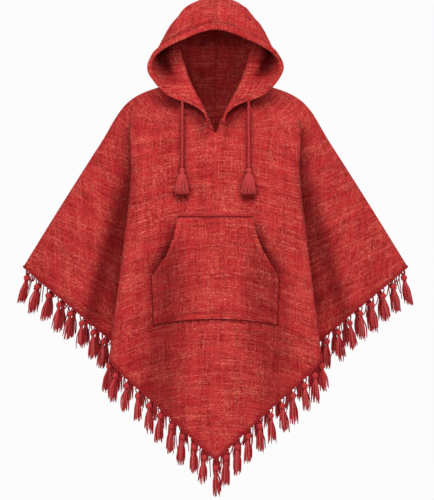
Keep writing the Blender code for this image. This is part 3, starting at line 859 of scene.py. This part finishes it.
def addHood(word, side):
    outer, fromRim, width, valleyAt, fallAt = rowsAlongRoll(hoodGrid())
    normals = hoodNormals(outer)
    fromCrown = lengths(outer, axis=1)
    toFoot = fromCrown[:, -1:] - fromCrown
    # the casing: a padded roll round the face, steep at the edge and soft towards the crown
    across = np.clip(2 * fromRim / width - 1, -1, 1)
    roll = np.where(across < 0, np.sqrt(1 - across ** 2), .5 + .5 * np.cos(np.pi * across))
    thick = clothWall + (rim["thick"] * width / rim["width"] - clothWall) * roll
    rounded = np.sqrt(1 - (1 - np.clip(fromRim / .0012, 0, 1)) ** 2)
    groove = rim["groove"] * fading(fromRim - width - rim["grooveOff"], rim["grooveReach"])
    groove *= smoothStep(0, .055, toFoot)
    groove += rim["crownSeam"] * fading(fromCrown, .0025) * (fromRim > width + .005)
    height = rim["ripple"] * ripples(outer * (side, 1, 1), .030, 11)
    height *= smoothStep(.003, .02, fromCrown) * smoothStep(0, .02, toFoot)
    middle = outer - (clothWall / 2 + (thick - clothWall) * .12)[..., None] * normals
    outside = middle + (thick / 2 * rounded + height - groove)[..., None] * normals
    inside = middle - (thick / 2 * rounded - height - groove)[..., None] * normals
    for grid in (outside, inside):
        grid[:, 0, 0] = 0
        grid[..., 0] = np.maximum(grid[..., 0], 0)
        grid *= (side, 1, 1)
    uvs = np.stack([side * fromCrown + .5, -fromRim - .3], axis=-1)
    # inside, straight threads across and down the head
    innerUvs = np.stack([side * (inside[..., 1] - np.abs(inside[..., 0])), inside[..., 2]], axis=-1)
    hood = wallPiece("hood_half_" + word, outside, inside, uvs, innerUvs)
    dress(hood, "cloth", "hood_" + word)
    return hood, hoodShade(outer, fromRim, fromCrown, width, valleyAt, fallAt)


hoodPieces, hoodShades = zip(*[addHood(word, side) for word, side in sides.items()])
print("hood made")


def onFront(tree, x, z):
    place, normal, _, _ = tree.ray_cast(Vector((x, -1, z)), Vector((0, 1, 0)))
    if normal.y > 0:
        normal = -normal
    return np.array(place), np.array(normal)


def pocketOutline():
    corner = pocket["opening"]
    parts = []
    for points in (pocket["outline"][:corner + 1], pocket["outline"][corner:]):
        points = np.array(points)
        parts.append(curveThrough(points, [pocket["cells"]] * (len(points) - 1), *straightOn(points)))
    return np.concatenate([parts[0], parts[1][1:]])


def sideWidth(row, width):
    # a width from the pocket's side edge, square to the edge where that slants
    return width * (pocket["slant"] if row < pocket["opening"] * pocket["cells"] else 1)


def addPocket(tree):
    outline = pocketOutline()
    columns = pocket["columns"]
    outer, inner, uvs = [], [], []
    for row, (z, half) in enumerate(outline):
        outerRow, innerRow, uvRow = [], [], []
        t = row / (len(outline) - 1)
        stretch = t * (len(pocket["outline"]) - 1)
        toBottom = z - outline[-1][0] + .0001
        toTop = outline[0][0] - z
        gaping = math.sin(math.pi * stretch / pocket["gapeEnd"]) ** .7 if stretch < pocket["gapeEnd"] else 0
        for column in range(columns + 1):
            across = 2 * column / columns - 1
            arch = pocket["arch"] * (1 - across ** 2) * t ** 2
            x = across * half
            place, normal = onFront(tree, x, z + arch)
            slack = math.sin(math.pi * t) * (.35 + .65 * across ** 2 * (stretch < 6))
            near = pocket["gap"] + pocket["slack"] * slack
            near += pocket["gape"] * gaping * smoothStep(.55, 1, abs(across))
            edge = min(sideWidth(row, (1 - abs(across)) * half), toBottom)
            hem = 1 - smoothStep(pocket["stitchIn"] - .001, pocket["stitchIn"] + .003, edge)
            groove = .0007 * fading(edge - pocket["stitchIn"], .0016)
            sag = .0010 * fading(toTop - .004, .0022)
            out = near + pocket["wall"] + pocket["hem"] * hem - groove - sag
            innerRow.append(place + near * normal)
            outerRow.append(place + out * normal)
            uvRow.append((x + .7, z + arch * .6 + x * x * 1.4))
        outer.append(outerRow)
        inner.append(innerRow)
        uvs.append(uvRow)
    outer = np.array(outer)
    piece = wallPiece("kangaroo_pocket", outer, np.array(inner), np.array(uvs))
    pickOnly(piece)
    bevel = piece.modifiers.new("soft edge", "BEVEL")
    bevel.width = .0011
    bevel.segments = 3
    bevel.limit_method = "ANGLE"
    bevel.angle_limit = math.radians(50)
    bpy.ops.object.modifier_apply(modifier=bevel.name)
    dress(piece, "cloth", "pocket")
    return piece, outer


sewing = {
    "stitch": .0032,         # one stitch
    "pitch": .0046,
    "thread": .00062,
    "edge": .0012,           # radius of the dark yarn laid as a painted shadow line where the pocket is sewn down
    "topShare": .8,          # of that along the pocket's top, where the painted shadow line is finer
    "beside": .0016,         # how far outside the pocket it lies
    "ridge": .0048,          # and how far above it the ridge of the turned edge
    "ridgeRadius": .0022,
    "clear": 8,              # columns of the pocket that the bottom row leaves free at its ends
}


def stitchRow(tubes, line):
    # running stitches along a line of points that already lie on the cloth
    line = np.array(line)
    stations = lengths(line)
    start = 0.0
    while start + sewing["stitch"] < stations[-1]:
        path = pointsAt(start + sewing["stitch"] * np.array([0, .2, .5, .8, 1]), stations, line)
        path[:, 1] -= np.array([-.0004, .0003, .0006, .0003, -.0004])
        tubes.add(path, np.array([.5, 1, 1.1, 1, .5]) * sewing["thread"])
        start += sewing["pitch"]


def addPocketStitches(outer):
    inside = pocket["stitchIn"]
    columns = outer.shape[1]
    tubes = Tubes()
    for way in (1, -1):      # down the hand openings and the sides
        line = []
        for row, points in enumerate(outer):
            half = abs(points[0, 0] - points[-1, 0]) / 2
            column = (1 + way * (1 - inside / sideWidth(row, half))) / 2 * (columns - 1)
            line.append(pointsAt(column, np.arange(columns), points))
        stitchRow(tubes, line)
    heights = outer[:, columns // 2, 2] - outer[-1, columns // 2, 2]
    bottomRow = int(np.argmin(np.abs(heights - inside)))
    stitchRow(tubes, outer[bottomRow, sewing["clear"]:-sewing["clear"]])
    dress(tubes.piece("pocket_stitches", wool["thread"]), "cloth")


def addShadowLinesAndRidge(outer, tree):
    # painted shadow lines of dark yarn down the sides, along the bottom and along the top, with the
    # turned edge as a soft ridge above
    low = pocket["opening"] * pocket["cells"]
    around = [*outer[low:, 0], *outer[-1, 1:-1], *outer[:low - 1:-1, -1]]
    topLine, bottomLine = pocket["outline"][0][0] - .002, pocket["outline"][-1][0] + .0208
    tubes = Tubes()
    for line, share, paint in ((around, 1, 0), (outer[0], sewing["topShare"], 2)):
        laid = []
        for x, _, z in line:
            aside = math.copysign(sewing["beside"], x) * (abs(x) > .14)
            beyond = sewing["beside"] * ((z > topLine) - 1.0 * (z < bottomLine))
            place, normal = onFront(tree, x + aside, z + beyond)
            laid.append(place + normal * sewing["edge"] * .8)
        tubes.add(laid, np.full(len(laid), sewing["edge"] * share), 7, paint=paint)
    ridge = []
    for x, _, z in outer[0]:
        place, normal = onFront(tree, x, z + sewing["ridge"])
        ridge.append(place + normal * sewing["thread"])
    tubes.add(ridge, np.full(len(ridge), sewing["ridgeRadius"]), 7, paint=1)
    edge = tubes.piece("pocket_painted_shadow_lines_and_ridge", wool["shadowLine"], wool["thread"], wool["topShadowLine"])
    dress(edge, "cloth")


frontTree = BVHTree.FromObject(frontPanel, bpy.context.evaluated_depsgraph_get())
pocketPiece, pocketOuter = addPocket(frontTree)
addPocketStitches(pocketOuter)
addShadowLinesAndRidge(pocketOuter, frontTree)
print("pocket sewn on")

# painted shade: occlusion found by casting rays, stored on the cloth, where it darkens the colour
paintedShade = {
    "reach": .070,           # how far other cloth still closes a place in
    "rays": 14,
    "spiral": 2.399963,      # radians from one ray to the next
    "lift": .0016,
    "full": .66,             # the open share from which a place counts as fully open
}


def markPaintedShade(shaded, others):
    # painted shade: how open each place of the cloth is, from rays cast over all the cloth, times the
    # painted shadows of each piece: 0 deep in a fold, 1 where it faces the room
    points, faces = [], []
    for piece in [*shaded, *others]:
        first = len(points)
        points += [v.co.copy() for v in piece.data.vertices]
        faces += [[first + c for c in f.vertices] for f in piece.data.polygons]
    tree = BVHTree.FromPolygons(points, faces)
    rays = []
    for k in range(paintedShade["rays"]):
        up = 1 - (k + .5) / paintedShade["rays"] * .92
        turn = paintedShade["spiral"] * k
        flat = math.sqrt(1 - up * up)
        rays.append((Vector((flat * math.cos(turn), flat * math.sin(turn), up)), up))
    total = sum(weight for _, weight in rays)
    for piece, shade in shaded.items():
        shares = []
        for vertex in piece.data.vertices:
            turned = vertex.normal.to_track_quat("Z", "Y")
            start = vertex.co + vertex.normal * paintedShade["lift"]
            closed = 0.0
            for ray, weight in rays:
                distance = tree.ray_cast(start, turned @ ray, paintedShade["reach"])[3]
                if distance is not None:
                    closed += weight * (1 - distance / paintedShade["reach"]) ** .5
            shares.append(min(1.0, (1 - closed / total) / paintedShade["full"]))
        layer = piece.data.attributes.new("paintedShade", "FLOAT", "POINT")
        layer.data.foreach_set("value", np.array(shares) * shade)


# painted shade of the front's folds, also where they cross the pocket
pocketPlaces = np.array([v.co for v in pocketPiece.data.vertices])
_, pocketShade = foldsAt(pocketPlaces[:, 0], pocketPlaces[:, 2], creases["front"])
markPaintedShade({frontPanel: frontShade, backPanel: backShade, **dict(zip(hoodPieces, hoodShades)),
              pocketPiece: pocketShade}, cordPieces)
print("folds shaded")

fringe = {
    "pitch": .0345,
    "splay": .95,            # outward lean for each square metre of x times |x|
    "stripHeight": .004,
    "legs": [(-.0035, .0050, .0015), (.003, .0042, .0016), (.0075, .0024, .0018)],   # drop, aside, radius
    "knotDrop": .0160,       # from the hem's rolled edge to the middle of the knot
    # drop and radius of the knot as tied tight, and how much the wool swells it
    "knot": [(-.0064, .0022), (-.0054, .0042), (-.0034, .0057), (-.0006, .0063), (.0022, .0059),
             (.0044, .0046), (.0060, .0032), (.0085, .0030)],
    "swollen": 1.113,
    "skirtDrop": .005175,    # from the middle of the knot to the top of the skirt
    "length": .0800,
    "strands": 16,
    "spread": .0106,
    "neck": .0027,           # where the skirt is drawn in under the knot
    "yarn": .00145,
    "taper": [.8, .9, 1.1, 1.15, 1.15, 1.1, .95, .55],
    "roll": .0030,
    "stray": .0014,
}


def addTassel(tubes, middle, along, away, lean, stretch, chance):
    def at(drop, u=0.0, v=0.0):
        return middle + lean * drop - np.array([0, 0, drop]) + along * u + away * v

    def ring(drop, radius, steps, yarnRadius, tilt=0.0, paint=0):
        turns = [2 * math.pi * k / steps for k in range(steps + 1)]
        path = [at(drop + tilt * math.cos(a), radius * math.cos(a), radius * math.sin(a)) for a in turns]
        tubes.add(path, np.full(steps + 1, yarnRadius), caps=False, paint=paint)

    knot = fringe["knotDrop"]
    for way in (-1, 1):      # two legs from the hem into the knot
        legs = [at(drop, way * aside) for drop, aside, _ in fringe["legs"]]
        legs[1] = legs[1] + away * .0006 * way
        legs.append(at(knot - .002, way * .0008))
        tubes.add(legs, [radius for *_, radius in fringe["legs"]] + [.0021], 6, paint=1)
    # the knot, with a yarn taken slantwise round it, and the wrap that draws the skirt in
    tubes.add([at(knot + drop) for drop, _ in fringe["knot"]],
              [radius * fringe["swollen"] for _, radius in fringe["knot"]], 10)
    tilt = chance.choice((-1, 1)) * chance.uniform(.5, .8)
    for level in (-.0012, .0022):
        ring(knot + level, .0054, 12, .0016, tilt * .0040)
    ring(knot + .0072, .0030, 10, .0011, paint=1)
    # the skirt, drawn in under the knot, then a bell with ragged ends
    top = knot + fringe["skirtDrop"]
    t = np.linspace(0, 1, len(fringe["taper"]))
    bell = smoothStep(0, .55, t)
    for strand in range(fringe["strands"]):
        turn = 2 * math.pi * (strand * goldenShare + chance.uniform(-.03, .03))
        share = math.sqrt((strand + .5) / fringe["strands"])
        reach = fringe["spread"] * share * chance.uniform(.80, 1.12)
        length = fringe["length"] * stretch * chance.uniform(.82, 1.02)
        flick = chance.uniform(-.12, .30) * (1 if strand % 3 else 2.2)
        sway = chance.uniform(-.0010, .0010) * np.sin(3.2 * t + strand)
        grow = reach * bell * (1 + 1.6 * flick * np.maximum(t - .6, 0))
        grow += fringe["neck"] * share * (1 - bell)
        path = [at(drop, u, v) for drop, u, v in zip(top + (length - top) * t,
                                                     grow * math.cos(turn) + sway, grow * math.sin(turn))]
        tubes.add(path, fringe["yarn"] * np.array(fringe["taper"]) * chance.uniform(.80, 1.20),
                  paint=(0, 1, 0, 2)[strand % 4])


def addFringe(name, stripNode, outer, inner, seed):
    poses = random.Random(seed)      # the same draws as the part's own tassels
    chance = random.Random(seed + 100)
    stations = lengths(outer)
    length = stations[-1]
    count = max(1, round(length / fringe["pitch"] - 1)) + 1
    pitch = length / count
    edge = (outer + inner) / 2

    def hemPoint(along):
        return pointsAt(along, stations, edge)

    def dropped(t, depth):
        return np.array([0, 0, depth * t])

    tubes = Tubes()
    # the rolled edge, drawn in where each tassel is knotted through it
    fine = np.arange(0, length + .0001, .0017)
    roll = hemPoint(fine) - dropped(1, .0010)
    tubes.add(roll, fringe["roll"] * (1 + .26 * np.cos(2 * math.pi * 4 * fine / pitch)), 9, paint=1)
    for k in range(count):
        centre = pitch * (.5 + k)
        middle = hemPoint(centre) - dropped(1, fringe["stripHeight"])
        along = without(hemPoint(centre + .004) - hemPoint(centre - .004), 2)
        away = np.array([along[1], -along[0], 0])
        near = int(np.argmin(np.abs(stations - centre)))
        if away.dot(outer[near] - inner[near]) < 0:
            away = -away
        splay = np.array([fringe["splay"] * middle[0] * abs(middle[0]), 0, 0])
        lean = splay + along * poses.uniform(-.06, .06) + away * poses.uniform(.02, .07)
        stretch = poses.uniform(.94, 1.05)
        for _ in range(4):
            poses.random()
        addTassel(tubes, middle, along, away, lean, stretch, chance)
        if k == count - 1:
            continue
        # loose yarns between two tassels: one hangs, one runs up from the knot
        start = hemPoint(centre + pitch * chance.uniform(.35, .65))
        hang = chance.uniform(.030, .068)
        drift = chance.uniform(-.12, .12)
        stray = [start + np.array([(splay[0] + drift * t) * hang * t, -.001 * t, -.001 - hang * t])
                 for t in (0, .25, .5, .75, 1)]
        if chance.random() < .80:
            tubes.add(stray, np.linspace(fringe["stray"], .0010, 5), paint=1)
        if chance.random() < .7:
            knot = fringe["knotDrop"]
            knotSide = middle + lean * knot - dropped(1, knot) + along * .0045
            hemSide = hemPoint(min(length, centre + pitch * chance.uniform(.55, .8)))
            slack = chance.uniform(.004, .016)
            net = [knotSide + (hemSide - knotSide) * t - dropped(math.sin(math.pi * t), slack)
                   for t in (0, .2, .4, .6, .8, 1)]
            tubes.add(net, np.full(6, fringe["stray"]), paint=1)
    piece = tubes.piece(name, wool["fringe"], wool["hem"], wool["pale"])
    dress(piece, "fringe_yarn", stripNode)
    return piece


def addFringes(word, outer, inner, cells):
    # three strips: the point between the two ridges, and one for each wing
    centre, ridge = sum(cells["across"]), sum(cells["across"][:2])
    strips = {"wing_left": (0, centre - ridge), "point": (centre - ridge, centre + ridge),
              "wing_right": (centre + ridge, 2 * centre)}
    made = []
    for part, (first, last) in strips.items():
        hem = [grid[-1, first * cells["fine"]:last * cells["fine"] + 1] for grid in (outer, inner)]
        made.append(addFringe(f"knotted_fringe_{word}_{part}", f"fringe_{word}_{part}", *hem,
                              seed=len(part) + first))
    return made


frontFringe = addFringes("front", frontOuter, frontInner, frontCells)
backFringe = addFringes("back", backOuter, backInner, backCells)
print("fringe knotted in")

studio = {
    "floor": {"size": 4.0, "level": -1.45, "colours": ("EBEBEA", "EFEFEE")},
    "backdrop": "FCFCFC",
    "ambient": .595,
    "aim": (0, 0, -.35),
    # place, size, power in watts
    "key": ((.1, -2.2, 2.5), 1.8, 55),
    "fill": ((-.2, -4.6, .1), 1.6, 42),
    "rear": ((0, 2.6, 1.6), 2.2, 20),
}


def addLight(name, place, size, power):
    data = bpy.data.lights.new(name, "AREA")
    data.shape = "DISK"
    data.size = size
    data.energy = power
    light = bpy.data.objects.new(name, data)
    light.location = place
    light.rotation_euler = (Vector(studio["aim"]) - Vector(place)).to_track_quat("-Z", "Y").to_euler()
    bpy.context.scene.collection.objects.link(light)


def addFloor():
    # matt white paper, with a faint grain
    bpy.ops.object.select_all(action="DESELECT")
    bpy.ops.mesh.primitive_plane_add(size=studio["floor"]["size"],
                                     location=(0, 0, studio["floor"]["level"]))
    floor = bpy.context.object
    floor.name = "studio_floor"
    material, tree, shader = newMaterial("matt white paper floor")
    grain = node(tree, "TexNoise", {"Scale": 40.0, "Detail": 3.0})
    ramp = node(tree, "ValToRGB", {"Fac": grain})
    for stop, colour in zip(ramp.node.color_ramp.elements, studio["floor"]["colours"]):
        stop.color = linear(colour)
    tree.links.new(ramp, shader.inputs["Base Color"])
    shader.inputs["Roughness"].default_value = .9
    floor.data.materials.append(material)


def addStudio():
    addFloor()
    world = bpy.data.worlds.new("studio")
    bpy.context.scene.world = world
    world.use_nodes = True
    tree = world.node_tree
    tree.nodes.clear()
    # the camera sees a white backdrop, and the piece a dimmer one
    seen = node(tree, "LightPath", out="Is Camera Ray")
    strength = node(tree, "MapRange", {0: seen, 3: studio["ambient"], 4: 1.0})
    sky = node(tree, "Background", {"Color": linear(studio["backdrop"]), "Strength": strength})
    node(tree, "OutputWorld", {"Surface": sky})
    for name in ("key", "fill", "rear"):
        addLight(name, *studio[name])
    bpy.context.scene.view_settings.view_transform = "Standard"


addStudio()
print("studio lit")
